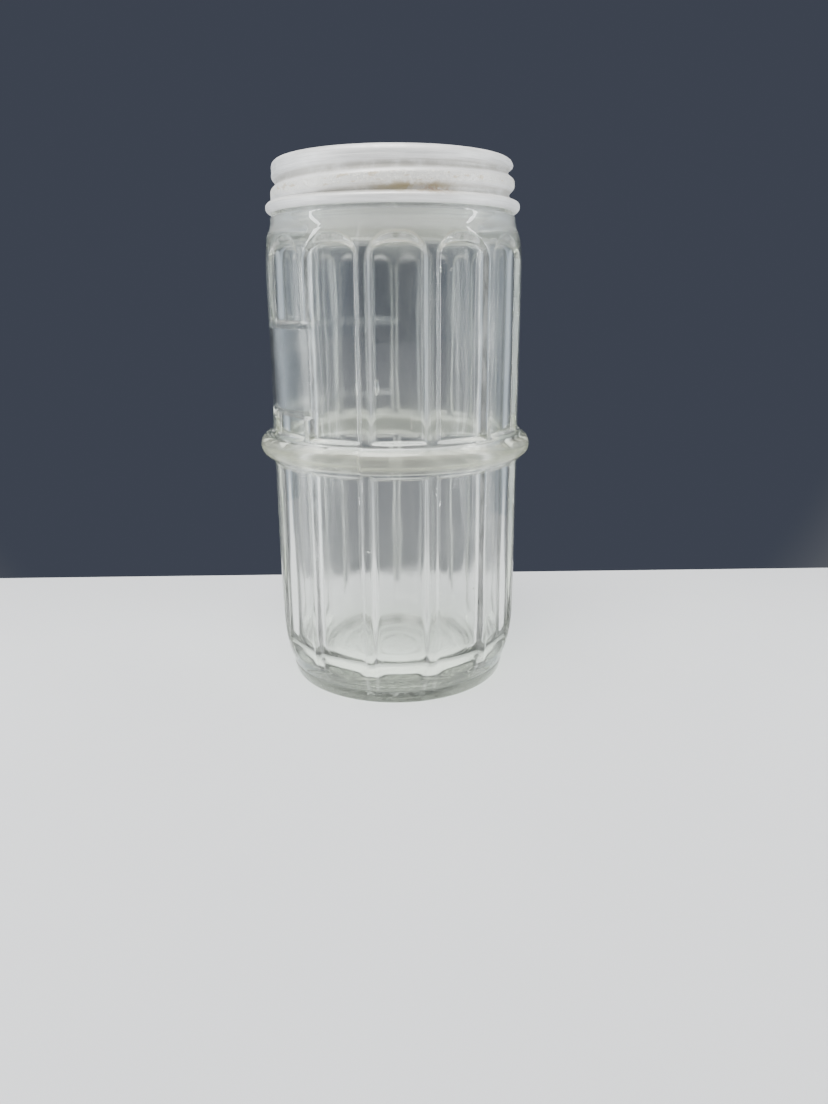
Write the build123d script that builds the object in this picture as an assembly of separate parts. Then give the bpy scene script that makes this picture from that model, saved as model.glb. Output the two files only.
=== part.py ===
"""Pressed-glass storage jar with an aluminium screw cap: one STEP file per piece.

Millimetres. +Z is up, -Y is the front, and the origin is the middle of the foot. Angles round the
jar are counted from the front towards +X. One turn of the thread climbs by THREAD_PITCH.
"""

from build123d import *
from math import cos, degrees, radians, sin
import os

# ---- driving dimensions ----
BODY_RADIUS = 27.6
WALL = 3.5
SHOULDER_START = 92.0
NECK_RADIUS = 25.6
NECK_HEIGHT = 100.35
CAP_TOP = 111.0
THREAD_PITCH = 25.4 / 6
CAP_SHEET = 0.35

# ---- foot, heel and inside of the jar ----
FOOT_INNER = 22.7
FOOT_OUTER = 24.1
FOOT_LINE = (25.0, 2.8)
HEEL_MIDDLE = (26.55, 7.8)
HEEL_TOP = 16.0
PUSH_UP = 1.5
FLOOR = 5.2
FLOOR_RADIUS = 17.5
INNER_HEEL_TOP = 12.0
BORE_RADIUS = 21.3

# ---- pressed panels: one flat facet between each pair of ribs ----
PANELS = 13
FIRST_RIB = -12.4
RIB_WIDTH = 1.5
PANEL_DEPTH = 1.5
PANEL_BOTTOM = 3.0
ARCH_SPRING = 92.4
ARCH_CROWN = 95.8
LABEL_PANELS = (-2, -3, -4)
LABEL_RADIUS = 26.9
LABEL_BOTTOM = 61.2
LABEL_TOP = 79.7

# ---- hanging ring round the middle ----
RING_HEIGHT = 53.4
RING_CREST = 30.0
RING_MINOR = 2.6
RING_ROOT = 3.6
RING_FILLET = 0.8

# ---- thread finish of the jar ----
FINISH_RADIUS = 23.45
LAND_TOP = 109.5
LIP_ROUND = 0.6
BAR_RADIUS = 0.95
BAR_FIRST, BAR_LAST = -0.6, 0.62

# ---- screw cap ----
SKIRT_RADIUS = 25.1
CORNER_ROUND = 1.5
GROOVE_DEPTH = 0.95
GROOVE_RADIUS = 1.1
GROOVE_HEIGHT = 103.25
GROOVE_FIRST, GROOVE_LAST = -0.22, 1.36
HEM_CREST = 26.45
HEM_BOTTOM = 100.85
HEM_TOP = 102.9
HEM_GAP = 0.15

# ---- liner: a pulpboard disc faced with waxed paper ----
LINER_RADIUS = 23.7
FACING = 0.2
LINER_GAP = 0.05

# ---- shape of the thread paths ----
FADE_TURNS = 0.12
POINTS_PER_TURN = 30


def turned(outline):
    """The solid that a closed outline of (radius, height) edges makes about the Z axis."""
    return revolve(Plane.XZ * make_face(outline), Axis.Z)


def disc(radius, low, high):
    """A plain disc between two heights."""
    return Pos(0, 0, low) * extrude(Circle(radius), high - low)


def thread_bar(radius, path_radius, height, first, last, fade_shift):
    """A round bar along the thread. At both ends it swerves by fade_shift, so the thread fades."""
    steps = round((last - first) * POINTS_PER_TURN)
    points = []
    for i in range(steps + 1):
        turn = first + (last - first) * i / steps
        ramp = min(min(turn - first, last - turn) / FADE_TURNS, 1)
        shift = fade_shift * (1 + cos(radians(180 * ramp))) / 2
        angle = radians(360 * turn)
        out = path_radius + shift
        points.append((out * sin(angle), -out * cos(angle), height + THREAD_PITCH * turn))
    path = Spline(*points)
    return sweep(Plane(origin=path @ 0, z_dir=path % 0) * Circle(radius), path=path)


def jar_blank():
    """The jar before its panels are pressed in: outer rib surface, finish, bore and floor."""
    inner = BODY_RADIUS - WALL
    mouth = LAND_TOP - LIP_ROUND
    bore_foot = SHOULDER_START + 7
    wall_top = SHOULDER_START + 1
    corner = LIP_ROUND * (1 - cos(radians(45)))
    shoulder_top = NECK_HEIGHT - 1.2
    ledge = FINISH_RADIUS + 0.8
    outline = [
        Line((FOOT_INNER, 0), (FOOT_OUTER, 0)),
        ThreePointArc((FOOT_OUTER, 0), (24.62, 1.2), FOOT_LINE),
        ThreePointArc(FOOT_LINE, HEEL_MIDDLE, (BODY_RADIUS, HEEL_TOP)),
        Line((BODY_RADIUS, HEEL_TOP), (BODY_RADIUS, SHOULDER_START)),
        ThreePointArc((BODY_RADIUS, SHOULDER_START), (26.8, 95.4), (NECK_RADIUS, shoulder_top)),
        Line((NECK_RADIUS, shoulder_top), (NECK_RADIUS, NECK_HEIGHT - 0.5)),
        RadiusArc((NECK_RADIUS, NECK_HEIGHT - 0.5), (NECK_RADIUS - 0.5, NECK_HEIGHT), -0.5),
        Line((NECK_RADIUS - 0.5, NECK_HEIGHT), (ledge, NECK_HEIGHT)),
        RadiusArc((ledge, NECK_HEIGHT), (FINISH_RADIUS, NECK_HEIGHT + 0.8), 0.8),
        Line((FINISH_RADIUS, NECK_HEIGHT + 0.8), (FINISH_RADIUS, mouth)),
        ThreePointArc(
            (FINISH_RADIUS, mouth),
            (FINISH_RADIUS - corner, LAND_TOP - corner),
            (FINISH_RADIUS - LIP_ROUND, LAND_TOP),
        ),
        Line((FINISH_RADIUS - LIP_ROUND, LAND_TOP), (BORE_RADIUS + LIP_ROUND, LAND_TOP)),
        ThreePointArc(
            (BORE_RADIUS + LIP_ROUND, LAND_TOP),
            (BORE_RADIUS + corner, LAND_TOP - corner),
            (BORE_RADIUS, mouth),
        ),
        Line((BORE_RADIUS, mouth), (BORE_RADIUS, bore_foot)),
        Spline((BORE_RADIUS, bore_foot), (inner, wall_top), tangents=[(0, -1), (0, -1)]),
        Line((inner, wall_top), (inner, INNER_HEEL_TOP)),
        Spline((inner, INNER_HEEL_TOP), (FLOOR_RADIUS, FLOOR), tangents=[(0, -1), (-1, 0)]),
        Line((FLOOR_RADIUS, FLOOR), (0, FLOOR)),
        Line((0, FLOOR), (0, PUSH_UP)),
        Spline((0, PUSH_UP), (FOOT_INNER, 0), tangents=[(1, 0), (1, -0.7)]),
    ]
    return turned(outline)


def panel_cutter(index, low, high, arched):
    """Everything outside one facet, between two heights. The top is an arch or is square."""
    angle = radians(FIRST_RIB + 360 / PANELS * (index + 0.5))
    outward = (sin(angle), -cos(angle), 0)
    facet = BODY_RADIUS - PANEL_DEPTH
    face = Plane(
        origin=(facet * outward[0], facet * outward[1], 0),
        x_dir=(cos(angle), sin(angle), 0),
        z_dir=outward,
    )
    half = BODY_RADIUS * sin(radians(180 / PANELS)) - RIB_WIDTH / 2
    if arched:
        top = ThreePointArc((half, ARCH_SPRING), (0, ARCH_CROWN), (-half, ARCH_SPRING))
        high = ARCH_SPRING
    else:
        top = Line((half, high), (-half, high))
    sides = [
        Line((-half, high), (-half, low)),
        Line((-half, low), (half, low)),
        Line((half, low), (half, high)),
    ]
    return extrude(face * make_face([top] + sides), 2 * PANEL_DEPTH)


def panel_cutters():
    """The cutters of all panels. Behind the label there is a window above and one below."""
    cutters = []
    label = [index % PANELS for index in LABEL_PANELS]
    for index in range(PANELS):
        if index in label:
            cutters.append(panel_cutter(index, PANEL_BOTTOM, LABEL_BOTTOM, False))
            cutters.append(panel_cutter(index, LABEL_TOP, ARCH_CROWN, True))
        else:
            cutters.append(panel_cutter(index, PANEL_BOTTOM, ARCH_CROWN, True))
    return cutters


def label_cutter():
    """Everything outside the plain round patch for the label, which spans its panels and their ribs."""
    step = 360 / PANELS
    rib_half = degrees(RIB_WIDTH / 2 / BODY_RADIUS)
    first = FIRST_RIB + step * min(LABEL_PANELS) - rib_half
    span = step * len(LABEL_PANELS) + 2 * rib_half
    depth = 2 * (BODY_RADIUS - LABEL_RADIUS)
    height = LABEL_TOP - LABEL_BOTTOM
    section = Pos(LABEL_RADIUS + depth / 2, LABEL_BOTTOM + height / 2) * Rectangle(depth, height)
    return Rot(0, 0, first - 90) * revolve(Plane.XZ * section, Axis.Z, span)


def hanging_ring():
    """The bead round the middle, with the band of wall that it grows out of."""
    root = Pos(BODY_RADIUS - WALL / 3, RING_HEIGHT) * Rectangle(2 * WALL / 3, 2 * RING_ROOT)
    bead = Pos(RING_CREST - RING_MINOR, RING_HEIGHT) * Circle(RING_MINOR)
    section = root + bead
    inside = [v for v in section.vertices() if abs(abs(v.Y - RING_HEIGHT) - RING_MINOR) < 0.1]
    return revolve(Plane.XZ * fillet(inside, RING_FILLET), Axis.Z)


def glass_jar():
    jar = jar_blank() - panel_cutters() - label_cutter() + hanging_ring()
    sunk = -(BAR_RADIUS + 0.1)
    height = GROOVE_HEIGHT + THREAD_PITCH / 2
    return jar + thread_bar(BAR_RADIUS, FINISH_RADIUS, height, BAR_FIRST, BAR_LAST, sunk)


def curled_hem():
    """The sheet's edge rolled outward into a flattened curl that ends just short of the skirt."""
    inner = SKIRT_RADIUS - CAP_SHEET
    width = HEM_CREST - inner
    height = HEM_TOP - HEM_BOTTOM
    middle = Pos(inner + width / 2, HEM_BOTTOM + height / 2)
    curl = middle * Rot(0, 0, 90) * SlotOverall(height, width)
    hollow = middle * Rot(0, 0, 90) * SlotOverall(height - 2 * CAP_SHEET, width - 2 * CAP_SHEET)
    slit = Pos(SKIRT_RADIUS + HEM_GAP, HEM_TOP - CAP_SHEET) * Rectangle(HEM_GAP, 4 * CAP_SHEET)
    return revolve(Plane.XZ * (curl - hollow - slit), Axis.Z)


def cap_shell():
    inner = SKIRT_RADIUS - CAP_SHEET
    low = HEM_BOTTOM + CORNER_ROUND
    outside = disc(SKIRT_RADIUS, low, CAP_TOP)
    outside = fillet(outside.edges().group_by(Axis.Z)[-1], CORNER_ROUND)
    inside = disc(inner, low, CAP_TOP - CAP_SHEET)
    inside = fillet(inside.edges().group_by(Axis.Z)[-1], CORNER_ROUND - CAP_SHEET)
    path_radius = SKIRT_RADIUS - GROOVE_DEPTH + GROOVE_RADIUS
    clear = GROOVE_RADIUS + 0.4
    run = (path_radius, GROOVE_HEIGHT, GROOVE_FIRST, GROOVE_LAST, clear)
    ridge = thread_bar(GROOVE_RADIUS + CAP_SHEET, *run) & inside
    shell = outside - inside + ridge - thread_bar(GROOVE_RADIUS, *run)
    return (shell + curled_hem()).solid()


def liner_board():
    return disc(LINER_RADIUS, LAND_TOP + LINER_GAP + FACING, CAP_TOP - CAP_SHEET - LINER_GAP)


def liner_facing():
    return disc(LINER_RADIUS, LAND_TOP + LINER_GAP, LAND_TOP + LINER_GAP + FACING)


os.makedirs("parts", exist_ok=True)
for piece in (glass_jar, cap_shell, liner_board, liner_facing):
    export_step(piece(), f"parts/{piece.__name__}.step")
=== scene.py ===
import math
import random

import bmesh
import bpy
import numpy as np
from mathutils import Matrix, Vector


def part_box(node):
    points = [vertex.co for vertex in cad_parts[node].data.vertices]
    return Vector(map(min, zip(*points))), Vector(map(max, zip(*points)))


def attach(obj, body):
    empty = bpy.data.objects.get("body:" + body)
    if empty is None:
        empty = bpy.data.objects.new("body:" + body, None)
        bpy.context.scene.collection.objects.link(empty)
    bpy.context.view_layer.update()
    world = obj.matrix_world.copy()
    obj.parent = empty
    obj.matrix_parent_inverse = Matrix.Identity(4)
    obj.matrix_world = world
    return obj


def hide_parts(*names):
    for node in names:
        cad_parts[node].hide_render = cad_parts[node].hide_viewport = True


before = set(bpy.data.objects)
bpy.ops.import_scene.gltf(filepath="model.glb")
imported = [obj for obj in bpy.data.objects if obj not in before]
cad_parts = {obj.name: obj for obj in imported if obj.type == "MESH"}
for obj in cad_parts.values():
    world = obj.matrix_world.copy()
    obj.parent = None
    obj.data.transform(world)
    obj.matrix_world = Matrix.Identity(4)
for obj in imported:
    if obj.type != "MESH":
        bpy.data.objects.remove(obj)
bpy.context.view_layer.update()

# Lengths are in millimetres in the jar's own frame, and MM turns them into Blender's metres.
# Angles round the jar are in degrees from the front (-Y) towards +X.
MM = 0.001
TURN = 2 * math.pi

# ---- sizes read from the frame ----
BEAD_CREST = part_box("glass_jar")[1].x / MM
LAND_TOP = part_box("glass_jar")[1].z / MM
CAP_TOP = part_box("cap_shell")[1].z / MM
HEM_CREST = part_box("cap_shell")[1].x / MM
HEM_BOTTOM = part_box("cap_shell")[0].z / MM
LINER_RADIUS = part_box("liner_board")[1].x / MM
BOARD_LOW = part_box("liner_board")[0].z / MM
BOARD_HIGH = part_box("liner_board")[1].z / MM
FACING_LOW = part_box("liner_facing")[0].z / MM

# ---- the jar: its body, panels and ribs ----
RIB_RADIUS = 27.6
FACET = 26.1
PANELS = 13
FIRST_RIB = -12.4
RIB_HALF = 1.15
RIB_ROUND = 0.65
RIB_REACH = 1.75
RIB_COLUMNS = 13
PANEL_COLUMNS = 16
ARCH_CROWN = 96.2
ARCH_SPRING = 91.6
ARCH_BEVEL = 2.1
ARCH_FULLNESS = 2.8
BEND_FROM = 84

# The label's patch, from one rib to another and from one height to another.
LABEL_RIBS = (-4, -1)
LABEL_BAND = (61.2, 79.7)
LABEL_RADIUS = 26.9
LABEL_EDGE = 0.4
TICK_PITCH = 0.5

BEAD_HEIGHT = 53.4
BEAD_MINOR = 2.6
BEAD_FILLET = 0.8
HALVES_OFFSET = 0.16

# Points of the outside as (radius, height), from the foot to the neck.
FOOT_INNER = 22.7
FOOT_OUTER = 24.05
FOOT_LINE = (24.98, 2.75)
HEEL_FOOT = (25.06, 3.15)
HEEL = (25.85, 5.55)
HEEL_TOP = 17
SHOULDER_FOOT = 90.5
SHOULDER = (26.1, 97.3)
NECK_RADIUS = 25.6
NECK_FOOT = 99.4
NECK_TOP = 100.3
NECK_EDGE = 0.5

# Plain rings under the base: (radius, height, half width).
BASE_RINGS = ((7.2, 0.22, 0.45), (12.5, 0.22, 0.45), (19.0, 0.3, 0.5))

# The finish that the cap screws on, and the inside.
FINISH_RADIUS = 23.45
FINISH_FILLET = 0.8
LAND_EDGE = 0.6
BORE_RADIUS = 21.3
BORE_FOOT = 99
INNER_RADIUS = 24.1
INNER_TOP = 93
INNER_HEEL = 12
FLOOR = 5.2
FLOOR_RADIUS = 17.5
PUSH_UP = 1.5

# The mould seam, and the half width of the line that it leaves.
SEAM_AT = -14.2
SEAM_HEIGHT = 0.09
SEAM_WIDTH = 0.22

# ---- the thread, shared by jar and cap ----
PITCH = 25.4 / 6
GROOVE_HEIGHT = 103.25
BAR_HEIGHT = GROOVE_HEIGHT + PITCH / 2
BAR_HALF = 0.95


def smooth(low, high, x):
    """0 below low, 1 above high, and a smooth step between."""
    t = np.clip((x - low) / (high - low), 0, 1)
    return t * t * (3 - 2 * t)


def bump(x, width):
    """1 at x = 0, falling to nothing over about twice the width."""
    return np.exp(-((x / width) ** 2))


# ---- outlines: points (radius, height), each stretch leaving out the point that it starts from ----
def line(start, end, count):
    t = np.linspace(0, 1, count + 1)[1:, None]
    return np.array(start) * (1 - t) + np.array(end) * t


def arc(centre, radius, first, last, count):
    a = np.radians(np.linspace(first, last, count + 1)[1:])
    return np.stack([centre[0] + radius * np.cos(a), centre[1] + radius * np.sin(a)], 1)


def bend(start, end, leaving, arriving, count):
    """A smooth curve between two points, with the directions that it leaves and arrives in."""
    t = np.linspace(0, 1, count + 1)[1:, None]
    start, end, leaving, arriving = map(np.array, (start, end, leaving, arriving))
    ends = start * (1 + 2 * t) * (1 - t) ** 2 + end * (3 - 2 * t) * t**2
    return ends + leaving * t * (1 - t) ** 2 - arriving * t**2 * (1 - t)


def rows_of(outline, angles, change=None):
    """Points of every outline row at every angle. change(radius, height, angles) may press them."""
    radius = np.repeat(outline[:, :1], len(angles), 1)
    height = np.repeat(outline[:, 1:], len(angles), 1)
    if change:
        radius, height = change(radius, height, angles[None, :])
    a = np.radians(angles)[None, :]
    return np.stack([radius * np.sin(a), -radius * np.cos(a), height], 2)


def sheet_faces(rows, columns, first=0):
    """Quads between neighbouring rows that go once round."""
    i = np.arange(rows - 1)[:, None] * columns + first
    j = np.arange(columns)[None, :]
    k = (j + 1) % columns
    return np.stack([i + j, i + k, i + k + columns, i + j + columns], 2).reshape(-1, 4)


def solid_of_rows(name, points):
    """A closed mesh from rows round the axis, whose first and last rows close to one point each."""
    rows, columns, _ = points.shape
    first = points[0].mean(0)
    last = points[-1].mean(0)
    vertices = np.vstack([points.reshape(-1, 3), first, last]) * MM
    faces = sheet_faces(rows, columns).tolist()
    low, high = rows * columns, rows * columns + 1
    top = (rows - 1) * columns
    for j in range(columns):
        k = (j + 1) % columns
        faces.append((low, k, j))
        faces.append((high, top + j, top + k))
    mesh = bpy.data.meshes.new(name)
    mesh.from_pydata(vertices.tolist(), [], faces)
    mesh.shade_smooth()
    piece = bpy.data.objects.new(name, mesh)
    bpy.context.scene.collection.objects.link(piece)
    return piece


# ---- the glass ----
def jar_angles():
    """Angles close together on each rib and its edges, and wider apart across each flat panel."""
    step = 360 / PANELS
    per_mm = math.degrees(1 / RIB_RADIUS)
    rib = np.linspace(-RIB_REACH, RIB_REACH, RIB_COLUMNS) * per_mm
    flat = np.linspace(rib[-1], step + rib[0], PANEL_COLUMNS + 2)[1:-1]
    one = np.concatenate([rib, flat])
    return np.concatenate([FIRST_RIB + step * i + one for i in range(PANELS)])


def from_seam(angles):
    """Arc length in mm to the nearer of the two mould seams, signed the same way round."""
    turn = (angles - SEAM_AT + 90) % 180 - 90
    return np.radians(turn) * RIB_RADIUS


def seam(angles):
    """How far the fine line of glass at each mould seam stands out."""
    return SEAM_HEIGHT * bump(from_seam(angles), SEAM_WIDTH)


def mould_half(angles):
    """-1 on the label's half of the mould and +1 on the other, with a quick change at each seam."""
    side = np.where((angles - SEAM_AT) % 360 < 180, 1.0, -1.0)
    return side * np.tanh(np.abs(from_seam(angles)) / 0.3)


def arch_over(from_middle):
    """Height of the arch's outer line, at a distance from its panel's middle of 0 to 1."""
    return ARCH_SPRING + (ARCH_CROWN - ARCH_SPRING) * (1 - from_middle**ARCH_FULLNESS)


def label_patch(height, angles):
    """1 on the plain round patch that the label was stuck to, which the ribs and panels leave out."""
    step = 360 / PANELS
    first, last = (FIRST_RIB + step * rib for rib in LABEL_RIBS)
    middle, reach = (first + last) / 2, (last - first) / 2
    from_middle = np.abs((angles - middle + 180) % 360 - 180)
    edge = np.radians(reach - from_middle) * RIB_RADIUS + RIB_HALF
    low, high = LABEL_BAND
    above = smooth(low - LABEL_EDGE, low + LABEL_EDGE, height)
    below = 1 - smooth(high - LABEL_EDGE, high + LABEL_EDGE, height)
    return above * below * smooth(-0.6, 0.6, edge)


def panelled(height, angles):
    """Degrees from the panel's middle, the height bent down with the arches, and 1 on the panels."""
    step = 360 / PANELS
    off = (angles - FIRST_RIB) % step - step / 2
    half = np.radians(step / 2) * RIB_RADIUS
    along = np.radians(np.abs(off)) * RIB_RADIUS
    side = smooth(RIB_HALF - RIB_ROUND, RIB_HALF + RIB_ROUND, half - along)
    arch = arch_over(along / half)
    rise = smooth(BEND_FROM, ARCH_CROWN - ARCH_BEVEL, height)
    fall = smooth(ARCH_CROWN, NECK_FOOT, height)
    bent = height - (ARCH_CROWN - arch) * (rise - fall)
    top = 1 - smooth(arch - ARCH_BEVEL, arch, bent)
    root = BEAD_MINOR + BEAD_FILLET
    band = smooth(root - 0.5, root + 0.6, np.abs(height - BEAD_HEIGHT))
    return off, bent, side * top * band


def pressed(radius, height, angles):
    """The outside of the body: flat panels between ribs, arches, the label's patch and the seams."""
    off, bent, depth = panelled(height, angles)
    order = np.argsort(height[:, 0])
    radius = np.interp(bent, height[order, 0], radius[order, 0])
    facet = FACET / np.cos(np.radians(off))
    over = radius - facet
    sunk = facet + 0.5 * (over - np.sqrt(over**2 + 0.02))
    radius = radius * (1 - depth) + sunk * depth
    patch = label_patch(height, angles)
    radius = radius * (1 - patch) + LABEL_RADIUS * patch
    return radius + seam(angles) * smooth(0.5, 3, height), bent


def wear_and_highlight(height, angles):
    """1 along the edges of the ribs, arches and label: handling has rubbed them, and their whitish
    frosting is also a painted highlight along the ribs.
    """
    _, _, depth = panelled(height, angles)
    patch = label_patch(height, angles)
    edge_wear_and_highlight = 4 * depth * (1 - depth) * (1 - patch) + 4 * patch * (1 - patch)
    return np.clip(edge_wear_and_highlight, 0, 1)


def beaded(radius, height, angles):
    """The bead: the two mould halves don't quite meet."""
    half = mould_half(angles)
    out = np.clip((radius - RIB_RADIUS) / BEAD_MINOR, 0, 1)
    radius = radius - 0.06 * out * (1 + half) + seam(angles)
    return radius, height - HALVES_OFFSET * half * smooth(0, 0.4, out)


def threaded(radius, height, angles):
    """The jar's thread bar, one round bar that fades at both ends."""
    for turn in (-1, 0, 1):
        turns = angles / 360 + turn
        there = smooth(-0.6, -0.45, turns) * (1 - smooth(0.47, 0.62, turns))
        away = height - BAR_HEIGHT - PITCH * turns
        rise = np.sqrt(np.clip(BAR_HALF**2 - away**2, 0, None)) * there
        radius = np.maximum(radius, FINISH_RADIUS + rise * (radius > FINISH_RADIUS - 0.01))
    return radius, height


def blown(radius, height, angles):
    """The inside: not quite round, with the slow waves of pressed glass."""
    a = np.radians(angles)
    wave = 0.05 * np.cos(3 * a + height / 9) + 0.035 * np.cos(5 * a - height / 6 + 1)
    wave = wave + 0.03 * np.cos(9 * a + height / 13) + 0.02 * np.cos(14 * a - height / 4)
    return radius + wave * (1 - smooth(88, 98, height)), height


def foot_outline():
    """Push-up with plain rings, the flat that it stands on, the foot line and the heel."""
    r = np.concatenate([np.linspace(1.0, 21.5, 24), [22.2, FOOT_INNER]])
    dome = PUSH_UP * (1 - (r / FOOT_INNER) ** 2.6)
    rings = sum(high * bump(r - at, wide) for at, high, wide in BASE_RINGS)
    under = np.stack([r, dome - rings], 1)
    return np.concatenate(
        [
            under,
            line((FOOT_INNER, 0), (FOOT_OUTER, 0), 2),
            bend((FOOT_OUTER, 0), FOOT_LINE, (1.6, 0.3), (0.5, 2.6), 7),
            line(FOOT_LINE, (24.9, 2.95), 1),
            line((24.9, 2.95), HEEL_FOOT, 1),
        ]
    )


def jar_outline():
    """The crest outline in stretches, each with what presses its surface."""
    centre = (BEAD_CREST - BEAD_MINOR - 0.1, BEAD_HEIGHT)
    out = RIB_RADIUS + BEAD_FILLET - centre[0]
    drop = math.sqrt((BEAD_MINOR + BEAD_FILLET) ** 2 - out**2)
    lean = math.degrees(math.atan2(drop, out))
    below = (RIB_RADIUS + BEAD_FILLET, BEAD_HEIGHT - drop)
    above = (RIB_RADIUS + BEAD_FILLET, BEAD_HEIGHT + drop)
    low, high = LABEL_BAND
    root = (FINISH_RADIUS + FINISH_FILLET, NECK_TOP + FINISH_FILLET)
    lip = LAND_TOP - LAND_EDGE
    outer, inner = FINISH_RADIUS - LAND_EDGE, BORE_RADIUS + LAND_EDGE
    return [
        (foot_outline(), None),
        (
            np.concatenate(
                [
                    bend(HEEL_FOOT, HEEL, (0.8, 2.2), (0.75, 2.4), 6),
                    bend(HEEL, (RIB_RADIUS, HEEL_TOP), (3.2, 9.0), (0.0, 14.0), 20),
                    line((RIB_RADIUS, HEEL_TOP), (RIB_RADIUS, below[1] - 1), 7),
                    line((RIB_RADIUS, below[1] - 1), (RIB_RADIUS, below[1]), 3),
                ]
            ),
            pressed,
        ),
        (
            np.concatenate(
                [
                    arc(below, BEAD_FILLET, 180, 180 - lean, 4),
                    arc(centre, BEAD_MINOR, -lean, lean, 22),
                    arc(above, BEAD_FILLET, lean - 180, -180, 4),
                ]
            ),
            beaded,
        ),
        (
            np.concatenate(
                [
                    line((RIB_RADIUS, above[1]), (RIB_RADIUS, above[1] + 1), 3),
                    line((RIB_RADIUS, above[1] + 1), (RIB_RADIUS, low - 0.5), 3),
                    line((RIB_RADIUS, low - 0.5), (RIB_RADIUS, low + 0.5), 5),
                    line((RIB_RADIUS, low + 0.5), (RIB_RADIUS, high - 0.5), 7),
                    line((RIB_RADIUS, high - 0.5), (RIB_RADIUS, high + 0.5), 5),
                    line((RIB_RADIUS, high + 0.5), (RIB_RADIUS, SHOULDER_FOOT), 7),
                    bend((RIB_RADIUS, SHOULDER_FOOT), SHOULDER, (0, 6.5), (-2.1, 4.2), 28),
                    bend(SHOULDER, (NECK_RADIUS, NECK_FOOT), (-0.8, 1.9), (0, 2), 5),
                    line((NECK_RADIUS, NECK_FOOT), (NECK_RADIUS, NECK_TOP - NECK_EDGE), 1),
                    arc((NECK_RADIUS - NECK_EDGE, NECK_TOP - NECK_EDGE), NECK_EDGE, 0, 90, 4),
                ]
            ),
            pressed,
        ),
        (
            np.concatenate(
                [
                    line((NECK_RADIUS - NECK_EDGE, NECK_TOP), (root[0], NECK_TOP), 1),
                    arc(root, FINISH_FILLET, -90, -180, 4),
                    line((FINISH_RADIUS, root[1]), (FINISH_RADIUS, lip), 26),
                ]
            ),
            threaded,
        ),
        (
            np.concatenate(
                [
                    arc((outer, lip), LAND_EDGE, 0, 90, 5),
                    line((outer, LAND_TOP), (inner, LAND_TOP), 1),
                    arc((inner, lip), LAND_EDGE, 90, 180, 5),
                    line((BORE_RADIUS, lip), (BORE_RADIUS, BORE_FOOT), 5),
                    bend((BORE_RADIUS, BORE_FOOT), (INNER_RADIUS, INNER_TOP), (0, -6), (0, -6), 14),
                    line((INNER_RADIUS, INNER_TOP), (INNER_RADIUS, INNER_HEEL), 16),
                    bend((INNER_RADIUS, INNER_HEEL), (FLOOR_RADIUS, FLOOR), (0, -9), (-8, 0), 14),
                    line((FLOOR_RADIUS, FLOOR), (1.0, FLOOR - 0.15), 9),
                ]
            ),
            blown,
        ),
    ]


def add_shell(mesh, points, faces):
    """Adds a closed shell to a mesh, in millimetres."""
    extra = bpy.data.meshes.new("shell")
    extra.from_pydata([tuple(point * MM) for point in points], [], faces)
    extra.shade_smooth()
    both = bmesh.new()
    both.from_mesh(mesh)
    both.from_mesh(extra)
    both.to_mesh(mesh)
    both.free()
    bpy.data.meshes.remove(extra)


def seed(centre, half, spin):
    """Vertices and inward faces of one bubble in the glass, longer one way than the other."""
    rings, columns = 7, 12
    points = []
    for i in range(1, rings):
        tilt = math.pi * i / rings
        for j in range(columns):
            a = TURN * j / columns
            offset = Vector(
                (
                    half[0] * math.sin(tilt) * math.cos(a),
                    half[2] * math.sin(tilt) * math.sin(a),
                    half[1] * math.cos(tilt),
                )
            )
            points.append(Vector(centre) + Matrix.Rotation(spin, 3, "Z") @ offset)
    top, bottom = len(points), len(points) + 1
    points.append(Vector(centre) + Vector((0, 0, half[1])))
    points.append(Vector(centre) - Vector((0, 0, half[1])))
    faces = []
    for j in range(columns):
        k = (j + 1) % columns
        faces.append((top, k, j))
        for i in range(rings - 2):
            low = i * columns
            faces.append((low + j, low + k, low + columns + k, low + columns + j))
        low = (rings - 2) * columns
        faces.append((bottom, low + j, low + k))
    return points, faces


def seeds():
    """Bubbles in the wall: (angle, height, half its height, half its width)."""
    known = [
        (-16.3, 67.6, 1.6, 0.62),
        (-8.4, 67.6, 1.6, 0.62),
        (19.9, 89.2, 0.6, 0.35),
        (25.2, 89.2, 0.36, 0.26),
        (-9.4, 76, 0.28, 0.24),
        (31.9, 82, 0.24, 0.2),
        (26.2, 76, 0.18, 0.16),
        (53.4, 67, 0.22, 0.18),
        (-27.4, 87, 0.2, 0.16),
        (-13.3, 34.5, 0.3, 0.26),
        (18, 40.5, 0.24, 0.22),
    ]
    pick = random.Random(7)
    for _ in range(14):
        half = pick.uniform(0.1, 0.22)
        known.append((pick.uniform(20, 300), pick.uniform(18, 90), half * 1.3, half))
    return known


def paint(piece, name, values):
    """A number for each of the piece's first vertices, which its material reads; the rest get 0."""
    full = np.zeros(len(piece.data.vertices))
    full[: values.size] = values.ravel()
    piece.data.attributes.new(name, "FLOAT", "POINT").data.foreach_set("value", full)


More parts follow.
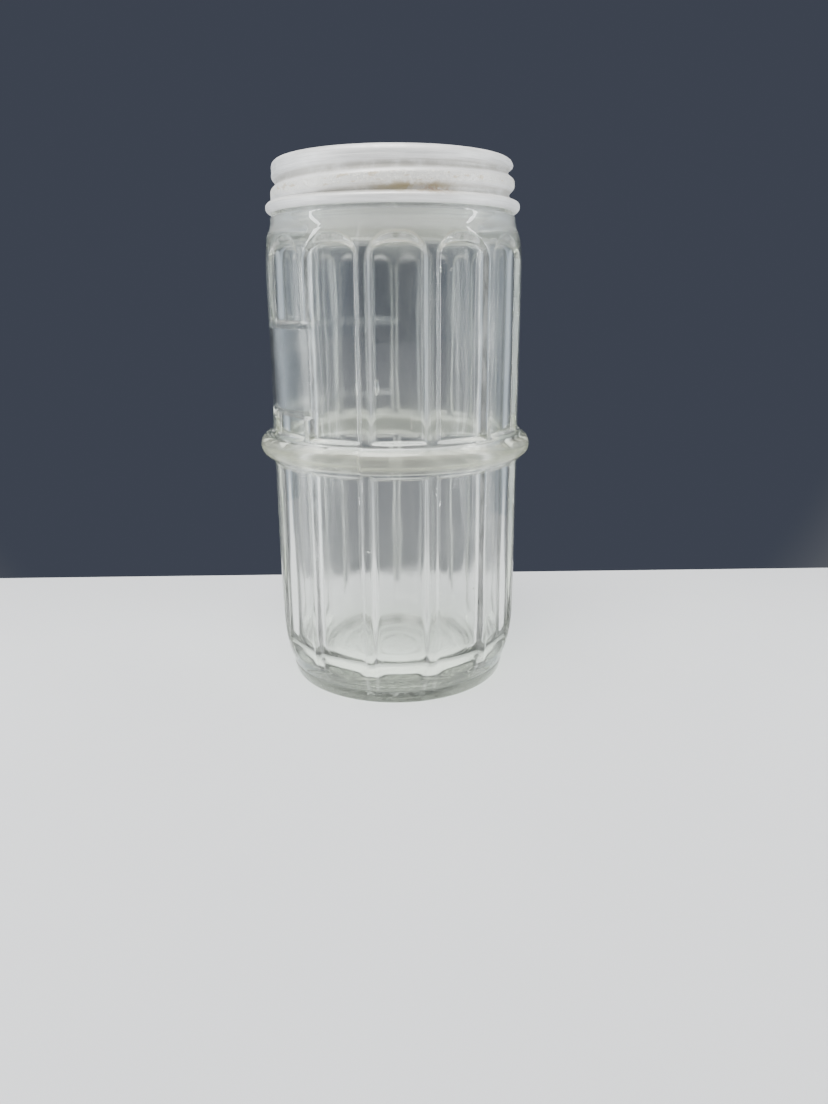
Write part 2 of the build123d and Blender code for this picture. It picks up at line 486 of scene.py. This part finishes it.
def make_jar():
    angles = jar_angles()
    stretches = jar_outline()
    parts = [rows_of(outline, angles, change) for outline, change in stretches]
    jar = solid_of_rows("jar_glass", np.concatenate(parts))
    for angle, height, tall, wide in seeds():
        a = math.radians(angle)
        middle = (FACET + INNER_RADIUS) / 2 - 0.1
        centre = (middle * math.sin(a), -middle * math.cos(a), height)
        points, faces = seed(centre, (wide, tall, min(wide, 0.45)), a)
        add_shell(jar.data, points, faces)
    inside = [np.full((len(rows), len(angles)), float(change is blown)) for rows, change in stretches]
    line_of_seam = 0.7 * bump(from_seam(angles), 0.3)[None, :]
    edge_wear_and_highlight = []
    for outline, change in stretches:
        heights = np.repeat(outline[:, 1:], len(angles), 1)
        # Rubbed edges, partly wear and partly painted highlight lines, and the mould seam's line.
        rubbed_and_lit = wear_and_highlight(heights, angles[None, :]) * (change is pressed)
        edge_wear_and_highlight.append(np.maximum(rubbed_and_lit, line_of_seam * (change in (pressed, beaded))))
    paint(jar, "inside", np.concatenate(inside))
    paint(jar, "wear_and_highlight", np.concatenate(edge_wear_and_highlight))
    return jar


# ---- the cap ----
CAP_SHEET = 0.35
BAND_RADIUS = 24.9
RIDGE_RADIUS = 25.25
GROOVE_DEPTH = 1.05
GROOVE_HALF = 1.7
TOP_CORNER = 1.4
PANEL_EDGE = 21.6
SKIRT_FOOT = 102.6
CURL_WIDE, CURL_HIGH = 0.98, 1.12
ROLLED_LINES = (108.25, 108.75, 109.25)


def groove(height, angles):
    """1 along the middle of the cap's helical groove, fading at its two ends."""
    depth = np.zeros(np.broadcast_shapes(height.shape, angles.shape))
    for turn in (-1, 0, 1):
        turns = angles / 360 + turn
        there = smooth(-0.28, -0.02, turns) * (1 - smooth(1.22, 1.42, turns))
        away = np.clip((height - GROOVE_HEIGHT - PITCH * turns) / GROOVE_HALF, -1, 1)
        depth = np.maximum(depth, there * (0.5 + 0.5 * np.cos(math.pi * away)) ** 1.2)
    return depth * smooth(102.3, 102.9, height) * (1 - smooth(109.2, 110.0, height))


def rolled(radius, height, angles):
    """The skirt of the cap is a round ridge between the turns of its groove."""
    return radius - GROOVE_DEPTH * groove(height, angles), height


def skirt_radius(height):
    """The band under the top is a little narrower than the ridges below it."""
    return RIDGE_RADIUS + (BAND_RADIUS - RIDGE_RADIUS) * smooth(106.5, 108.6, height)


def cap_outline():
    """From the middle of the top, down the outside, round the curled hem and back up inside."""
    corner, shoulder = TOP_CORNER, CAP_TOP - TOP_CORNER
    top = [
        line((1, CAP_TOP), (PANEL_EDGE, CAP_TOP), 10),
        line((PANEL_EDGE, CAP_TOP), (BAND_RADIUS - corner, CAP_TOP), 2),
    ]
    edge = arc((BAND_RADIUS - corner, shoulder), corner, 90, 0, 8)
    z = np.linspace(shoulder, SKIRT_FOOT, 60)[1:]
    scored = sum(0.07 * bump(z - at, 0.12) for at in ROLLED_LINES)
    skirt = np.stack([skirt_radius(z) - scored, z], 1)

    middle, low = HEM_CREST - CURL_WIDE, HEM_BOTTOM + CURL_HIGH
    a = np.radians(np.linspace(118, -150, 26))
    curl = np.stack([middle + CURL_WIDE * np.cos(a), low + CURL_HIGH * np.sin(a)], 1)
    back = np.array([(RIDGE_RADIUS - CAP_SHEET - 0.12, low - 0.25)])

    z = np.linspace(102.2, shoulder, 46)
    inside = np.stack([skirt_radius(z) - CAP_SHEET, z], 1)
    under = arc((BAND_RADIUS - corner, shoulder), corner - CAP_SHEET, 0, 90, 6)
    ceiling = CAP_TOP - CAP_SHEET
    roof = line((BAND_RADIUS - corner, ceiling), (1, ceiling), 8)
    return np.concatenate([*top, edge, skirt, curl, back, inside, under, roof])[::-1]


def make_cap():
    angles = np.linspace(0, 360, 241)[:-1]
    outline = cap_outline()
    cap = solid_of_rows("cap_aluminium", rows_of(outline, angles, rolled))
    paint(cap, "groove", groove(outline[:, 1:], angles[None, :]))
    return cap


# ---- the liner ----
def make_board():
    """A punched pulpboard disc, its edge a little crushed."""
    low, high = BOARD_LOW, BOARD_HIGH
    outline = np.concatenate(
        [
            line((0.8, low), (LINER_RADIUS - 0.2, low), 14),
            arc((LINER_RADIUS - 0.2, low + 0.2), 0.2, -90, 0, 3),
            line((LINER_RADIUS, low + 0.2), (LINER_RADIUS, high - 0.15), 2),
            arc((LINER_RADIUS - 0.15, high - 0.15), 0.15, 0, 90, 3),
            line((LINER_RADIUS - 0.15, high), (0.8, high), 14),
        ]
    )
    return solid_of_rows("liner_pulpboard", rows_of(outline, np.linspace(0, 360, 121)[:-1]))


def dented(radius, height, angles):
    """The ring that the glass land has pressed into the facing."""
    land = smooth(21.4, 22.0, radius) * (1 - smooth(22.8, 23.3, radius))
    return radius, height + 0.06 * land * (height < FACING_LOW + 0.05)


def make_facing():
    low, high = FACING_LOW, BOARD_LOW
    outline = np.concatenate(
        [
            line((0.8, low), (20.6, low), 8),
            line((20.6, low), (LINER_RADIUS - 0.08, low), 14),
            arc((LINER_RADIUS - 0.08, low + 0.08), 0.08, -90, 0, 3),
            line((LINER_RADIUS, low + 0.08), (LINER_RADIUS, high), 1),
            line((LINER_RADIUS, high), (0.8, high), 12),
        ]
    )
    angles = np.linspace(0, 360, 121)[:-1]
    return solid_of_rows("liner_waxed_facing", rows_of(outline, angles, dented))


# ---- materials ----
class Shader:
    """One procedural material: short names for the nodes that it needs."""

    def __init__(self, name):
        self.material = bpy.data.materials.new(name)
        self.material.use_nodes = True
        self.tree = self.material.node_tree
        self.surface = self.tree.nodes["Principled BSDF"]
        self.output = self.tree.nodes["Material Output"]
        self.place = self.node("ShaderNodeTexCoord").outputs["Object"]

    def node(self, kind, **settings):
        made = self.tree.nodes.new(kind)
        for key, value in settings.items():
            setattr(made, key, value)
        return made

    def link(self, value, socket):
        if hasattr(value, "is_output"):
            self.tree.links.new(value, socket)
        else:
            socket.default_value = value

    def math(self, operation, *values):
        made = self.node("ShaderNodeMath", operation=operation)
        for value, socket in zip(values, made.inputs):
            self.link(value, socket)
        return made.outputs[0]

    def noise(self, size, detail=4, stretch=(1, 1, 1), rough=0.55):
        """Noise whose grain is about size millimetres, longer along an axis by its stretch."""
        mapping = self.node("ShaderNodeMapping")
        self.link(self.place, mapping.inputs["Vector"])
        mapping.inputs["Scale"].default_value = [1 / (size * MM * s) for s in stretch]
        made = self.node("ShaderNodeTexNoise")
        self.link(mapping.outputs[0], made.inputs["Vector"])
        made.inputs["Scale"].default_value = 1
        made.inputs["Detail"].default_value = detail
        made.inputs["Roughness"].default_value = rough
        return made.outputs["Fac"]

    def range(self, value, low, high, to_low=0.0, to_high=1.0):
        made = self.node("ShaderNodeMapRange", interpolation_type="SMOOTHSTEP")
        self.link(value, made.inputs["Value"])
        for socket, number in zip(list(made.inputs)[1:5], (low, high, to_low, to_high)):
            socket.default_value = number
        return made.outputs["Result"]

    def spot(self, centre, half):
        """1 in the middle of an oval patch, 0 outside it. centre and half are in millimetres."""
        mapping = self.node("ShaderNodeMapping", vector_type="TEXTURE")
        self.link(self.place, mapping.inputs["Vector"])
        mapping.inputs["Location"].default_value = [x * MM for x in centre]
        mapping.inputs["Scale"].default_value = [x * MM for x in half]
        length = self.node("ShaderNodeVectorMath", operation="LENGTH")
        self.link(mapping.outputs[0], length.inputs[0])
        return self.range(length.outputs["Value"], 0.0, 1.0, 1.0, 0.0)

    def mix(self, factor, one, two):
        made = self.node("ShaderNodeMix", data_type="RGBA")
        self.link(factor, made.inputs["Factor"])
        self.link(one, made.inputs["A"])
        self.link(two, made.inputs["B"])
        return made.outputs["Result"]

    def painted(self, name):
        """The number that paint() gave the vertices."""
        return self.node("ShaderNodeAttribute", attribute_name=name).outputs["Fac"]

    def split(self):
        made = self.node("ShaderNodeSeparateXYZ")
        self.link(self.place, made.inputs[0])
        return made.outputs

    def angle(self):
        """Radians round the jar from the front towards +X."""
        place = self.split()
        return self.math("ARCTAN2", place["X"], self.math("MULTIPLY", place["Y"], -1.0))

    def height(self):
        """Height above the foot, in millimetres."""
        return self.math("DIVIDE", self.split()["Z"], MM)

    def radius(self):
        """Distance from the jar's axis, in millimetres."""
        place = self.split()
        square = [self.math("MULTIPLY", place[axis], place[axis]) for axis in "XY"]
        return self.math("DIVIDE", self.math("SQRT", self.math("ADD", *square)), MM)

    def bump(self, value, depth, below=None):
        """A bump whose depth is in millimetres."""
        made = self.node("ShaderNodeBump")
        self.link(value, made.inputs["Height"])
        made.inputs["Strength"].default_value = 1
        made.inputs["Distance"].default_value = depth * MM
        if below:
            self.link(below, made.inputs["Normal"])
        return made.outputs["Normal"]

    def set(self, **inputs):
        for name, value in inputs.items():
            self.link(value, self.surface.inputs[name.replace("_", " ").title().replace("Ior", "IOR")])


def glass_material():
    s = Shader("clear_pressed_glass")
    height = s.height()
    inside, edge = s.painted("inside"), s.painted("wear_and_highlight")
    cloud = s.range(s.noise(9, 3), 0.35, 0.75)

    # The bead is scuffed and yellower, the inside has a film, and the rubbed edges are frosted
    # whitish, which is wear and also a painted highlight along the ribs and seams.
    near = s.math("ABSOLUTE", s.math("SUBTRACT", height, BEAD_HEIGHT))
    outside = s.range(s.radius(), RIB_RADIUS, BEAD_CREST - 1.2)
    bead = s.math("MULTIPLY", s.range(near, 3.2, 1.5), outside)
    neck = s.range(height, 95.5, 97.5)
    rub_and_highlight = s.math("MULTIPLY", edge, s.range(s.noise(1.2, 3, (1, 1, 5)), 0.3, 0.62))
    walls = s.range(height, 5.5, 14, 0.35, 1.0)
    film = s.math("MULTIPLY", s.math("MULTIPLY", inside, walls), s.range(cloud, 0, 1, 0.6, 1.0))
    rough = s.math("MULTIPLY", film, 0.2)
    scuffed = s.math("MULTIPLY", bead, s.range(s.radius(), BEAD_CREST - 1.3, BEAD_CREST - 0.4))
    rough = s.math("ADD", rough, s.math("MULTIPLY", scuffed, 0.2))
    rough = s.math("ADD", rough, s.math("MULTIPLY", rub_and_highlight, 0.15))
    veil = s.math("MULTIPLY", film, 0.012)
    # The whitish veil on the rubbed edges is partly wear and partly painted highlight lines.
    veil = s.math("ADD", veil, s.math("MULTIPLY", rub_and_highlight, 0.22))
    veil = s.math("ADD", veil, s.math("MULTIPLY", bead, 0.16))
    veil = s.math("ADD", veil, s.math("MULTIPLY", neck, 0.16))
    base = s.mix(bead, (0.98, 0.988, 0.975, 1), (0.9, 0.9, 0.72, 1))
    s.set(base_color=base, ior=1.52, roughness=rough)
    s.set(transmission_weight=s.math("SUBTRACT", 1.0, veil))

    # Slow waves, the stippled underside and the small ticks along the label's edges.
    skin = s.bump(s.noise(5, 2, (1, 1, 2.5)), 0.05)
    stipple = s.math("MULTIPLY", s.noise(0.9, 2), s.range(height, 3.0, 2.0))
    normal = s.bump(stipple, 0.15, s.bump(s.noise(0.8, 2), 0.002, skin))
    angle = s.angle()
    ticks = s.math("SINE", s.math("MULTIPLY", angle, TURN * LABEL_RADIUS / TICK_PITCH))
    on_label = s.range(angle, math.radians(-42), math.radians(-44))
    low, high = LABEL_BAND
    for at in (low + 0.3, high - 0.6):
        away = s.math("ABSOLUTE", s.math("SUBTRACT", height, at))
        here = s.math("MULTIPLY", s.range(away, 0.8, 0.5), on_label)
        normal = s.bump(s.math("MULTIPLY", ticks, here), 0.06, normal)
    s.set(normal=normal)

    # Light passes through to what is behind and below it.
    shadow = s.node("ShaderNodeLightPath").outputs["Is Shadow Ray"]
    clear = s.node("ShaderNodeBsdfTransparent")
    clear.inputs["Color"].default_value = (0.94, 0.955, 0.945, 1)
    mixed = s.node("ShaderNodeMixShader")
    s.link(shadow, mixed.inputs["Fac"])
    s.link(s.surface.outputs[0], mixed.inputs[1])
    s.link(clear.outputs[0], mixed.inputs[2])
    s.link(mixed.outputs[0], s.output.inputs["Surface"])
    tint = s.node("ShaderNodeVolumeAbsorption")
    tint.inputs["Color"].default_value = (0.76, 0.84, 0.62, 1)
    tint.inputs["Density"].default_value = 18
    s.link(tint.outputs[0], s.output.inputs["Volume"])
    return s.material


def cap_material():
    s = Shader("matt_cap_aluminium")
    base = s.mix(s.range(s.noise(7, 4), 0.35, 0.65), (0.82, 0.815, 0.8, 1), (0.9, 0.895, 0.88, 1))
    rolling = s.noise(0.22, 3, (40, 40, 1))
    base = s.mix(s.range(rolling, 0.45, 0.7, 0, 0.5), base, (0.6, 0.595, 0.58, 1))

    # The groove is darker grey-brown, dirt together with painted shade in the recess; the dirt is tan
    # and thick at the front.
    low = s.painted("groove")
    groove_dirt_and_shade = s.math("MULTIPLY", s.range(low, 0.25, 0.95), s.range(s.noise(3, 4), 0.3, 0.6, 0.25, 0.7))
    # Painted shade and dirt darken the groove.
    base = s.mix(groove_dirt_and_shade, base, (0.4, 0.38, 0.33, 1))
    patchy = s.range(s.noise(1.8, 4), 0.35, 0.6)
    stain = s.math("MULTIPLY", s.spot((5, -24.3, 103.7), (15, 6, 2.2)), patchy)
    base = s.mix(s.math("MULTIPLY", stain, 0.85), base, (0.42, 0.34, 0.18, 1))
    grains = s.range(s.noise(0.6, 3), 0.45, 0.6)
    rust = s.math("MULTIPLY", s.spot((8, -24.3, 103.2), (6, 5, 1.1)), grains)
    base = s.mix(s.math("MULTIPLY", rust, 0.7), base, (0.38, 0.2, 0.12, 1))

    # The crest of the ridge is crusted with pale specks and tan; its even cream tint is wear and also
    # a painted highlight on the lit ridge.
    speck = s.range(s.noise(0.5, 2, rough=0.7), 0.5, 0.6)
    crest = s.math("MULTIPLY", s.range(low, 0.2, 0.02), s.range(s.height(), 103.6, 104.2))
    crest = s.math("MULTIPLY", crest, s.range(s.height(), 107.6, 106.6))
    crust = s.math("MULTIPLY", speck, crest)
    # Cream over the whole crest: partly wear, partly painted highlight.
    base = s.mix(s.math("MULTIPLY", crest, 0.5), base, (0.86, 0.84, 0.77, 1))
    base = s.mix(crust, base, (0.97, 0.95, 0.88, 1))
    tan = s.math("MULTIPLY", crest, s.range(s.noise(0.9, 3, (3, 3, 1)), 0.58, 0.66))
    base = s.mix(s.math("MULTIPLY", tan, 0.6), base, (0.62, 0.5, 0.32, 1))
    s.set(base_color=base, metallic=0.35)
    s.set(roughness=s.range(s.noise(1.6, 4), 0.3, 0.7, 0.42, 0.6))
    fine = s.bump(rolling, 0.02)
    s.set(normal=s.bump(crust, 0.08, s.bump(s.noise(2.4, 3), 0.04, fine)))
    return s.material


def board_material():
    s = Shader("grey_pulpboard")
    fibre = s.noise(0.5, 5, (3, 1, 1), 0.7)
    base = s.mix(s.range(fibre, 0.35, 0.7), (0.42, 0.36, 0.28, 1), (0.62, 0.55, 0.45, 1))
    fleck = s.range(s.noise(0.35, 1), 0.66, 0.7)
    base = s.mix(fleck, base, (0.2, 0.17, 0.14, 1))
    s.set(base_color=base, roughness=0.92)
    s.set(normal=s.bump(fibre, 0.06))
    return s.material


def facing_material():
    s = Shader("waxed_paper")
    age = s.range(s.noise(8, 4), 0.35, 0.7)
    base = s.mix(age, (0.86, 0.84, 0.78, 1), (0.78, 0.71, 0.58, 1))
    fibre = s.noise(0.6, 4, (1, 2.5, 1), 0.65)
    base = s.mix(s.range(fibre, 0.5, 0.75, 0, 0.25), base, (0.66, 0.58, 0.45, 1))
    s.set(base_color=base, roughness=s.range(fibre, 0.3, 0.7, 0.3, 0.45))
    s.set(coat_weight=0.25, coat_roughness=0.25)
    s.set(normal=s.bump(fibre, 0.015))
    return s.material


def floor_material():
    s = Shader("pale_floor")
    base = s.mix(s.noise(40, 3), (0.74, 0.75, 0.77, 1), (0.78, 0.785, 0.8, 1))
    s.set(base_color=base, roughness=0.6)
    return s.material


# ---- the object ----
def dress(piece, node, body, material):
    piece.data.materials.append(material)
    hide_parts(node)
    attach(piece, body)


dress(make_jar(), "glass_jar", "jar", glass_material())
dress(make_cap(), "cap_shell", "cap", cap_material())
dress(make_board(), "liner_board", "liner", board_material())
dress(make_facing(), "liner_facing", "liner", facing_material())


# ---- floor, light and camera, in metres ----
def make_floor():
    """A pale table top with its far edge close behind the jar, as where it was taken."""
    wide, near, far, thick, edge = 1.5, -1.6, 0.07, 0.03, 0.003
    corners = [(-wide, near), (wide, near), (wide, far - edge), (-wide, far - edge)]
    points = [(x, y, 0) for x, y in corners]
    points += [(wide, far, -edge), (-wide, far, -edge), (wide, far, -thick), (-wide, far, -thick)]
    mesh = bpy.data.meshes.new("floor")
    mesh.from_pydata(points, [], [(0, 1, 2, 3), (3, 2, 4, 5), (5, 4, 6, 7)])
    floor = bpy.data.objects.new("floor", mesh)
    bpy.context.scene.collection.objects.link(floor)
    floor.data.materials.append(floor_material())


def softbox(name, place, target, size, power, colour=(1, 1, 1)):
    light = bpy.data.lights.new(name, "AREA")
    light.shape = "RECTANGLE"
    light.size, light.size_y = size
    light.energy = power
    light.color = colour
    lamp = bpy.data.objects.new(name, light)
    lamp.location = place
    lamp.rotation_euler = (Vector(target) - Vector(place)).to_track_quat("-Z", "Y").to_euler()
    lamp.visible_camera = False
    bpy.context.scene.collection.objects.link(lamp)
    return lamp


DIM_ROOM = (0.17, 0.175, 0.18, 1)
SIDES = (0.5, 0.58, 0.68, 1)
CEILING = (0.85, 0.87, 0.9, 1)
HIGH_FRONT = (1.7, 1.7, 1.66, 1)
SLATE = (0.054, 0.062, 0.086, 1)


def make_room():
    """Soft light from above, from both sides and from high in front, and a slate wall behind."""
    world = bpy.data.worlds.new("soft_room")
    world.use_nodes = True
    tree = world.node_tree
    background = tree.nodes["Background"]
    direction = tree.nodes.new("ShaderNodeTexCoord").outputs["Generated"]
    split = tree.nodes.new("ShaderNodeSeparateXYZ")
    tree.links.new(direction, split.inputs[0])

    def lobe(axis, low, high, absolute=False):
        value = split.outputs[axis]
        if absolute:
            size = tree.nodes.new("ShaderNodeMath")
            size.operation = "ABSOLUTE"
            tree.links.new(value, size.inputs[0])
            value = size.outputs[0]
        ramp = tree.nodes.new("ShaderNodeMapRange")
        ramp.interpolation_type = "SMOOTHSTEP"
        tree.links.new(value, ramp.inputs["Value"])
        ramp.inputs["From Min"].default_value = low
        ramp.inputs["From Max"].default_value = high
        return ramp.outputs["Result"]

    def over(below, colour, amount):
        mix = tree.nodes.new("ShaderNodeMix")
        mix.data_type = "RGBA"
        tree.links.new(amount, mix.inputs["Factor"])
        if isinstance(below, tuple):
            mix.inputs["A"].default_value = below
        else:
            tree.links.new(below, mix.inputs["A"])
        mix.inputs["B"].default_value = colour
        return mix.outputs["Result"]

    def both(one, other):
        product = tree.nodes.new("ShaderNodeMath")
        product.operation = "MULTIPLY"
        tree.links.new(one, product.inputs[0])
        tree.links.new(other, product.inputs[1])
        return product.outputs[0]

    colour = over(DIM_ROOM, SIDES, lobe("X", 0.5, 0.8, True))
    colour = over(colour, CEILING, lobe("Z", 0.35, 0.6))
    colour = over(colour, HIGH_FRONT, both(lobe("Y", -0.35, -0.7), lobe("Z", 0.3, 0.55)))
    colour = over(colour, SLATE, both(lobe("Y", 0.8, 0.88), lobe("Z", 0.42, 0.32, True)))
    tree.links.new(colour, background.inputs["Color"])
    bpy.context.scene.world = world


def make_lights():
    """A large soft light overhead, and a narrow strip at each side that lines the ribs."""
    softbox("top", (-0.12, -0.25, 1.0), (0, 0, 0.06), (0.6, 0.6), 12, (1, 0.99, 0.97))
    height, away, ahead = 0.12, 0.193, -0.052
    for side in (-1, 1):
        place = (side * away, ahead, height)
        softbox("strip", place, (0, 0, height), (0.014, 0.24), 0.24, (0.95, 0.98, 1))


def make_camera():
    """A close view from a little above the jar's shoulder, looking down at its middle."""
    distance, height = 0.1916, 0.0838
    pitch, yaw, roll = map(math.radians, (16.53, 1.19, -0.36))
    ahead = Vector(
        (math.sin(yaw) * math.cos(pitch), math.cos(yaw) * math.cos(pitch), -math.sin(pitch))
    )
    right = Vector((math.cos(yaw), -math.sin(yaw), 0))
    up = right.cross(ahead)
    right, up = (
        right * math.cos(roll) + up * math.sin(roll),
        up * math.cos(roll) - right * math.sin(roll),
    )
    turn = Matrix((right, up, -ahead)).transposed()
    data = bpy.data.cameras.new("camera")
    data.sensor_width = 36
    data.lens = 27.72
    data.clip_start, data.clip_end = 0.01, 20
    camera = bpy.data.objects.new("camera", data)
    camera.matrix_world = Matrix.Translation((0, -distance, height)) @ turn.to_4x4()
    bpy.context.scene.collection.objects.link(camera)
    bpy.context.scene.camera = camera


make_floor()
make_room()
make_lights()
make_camera()
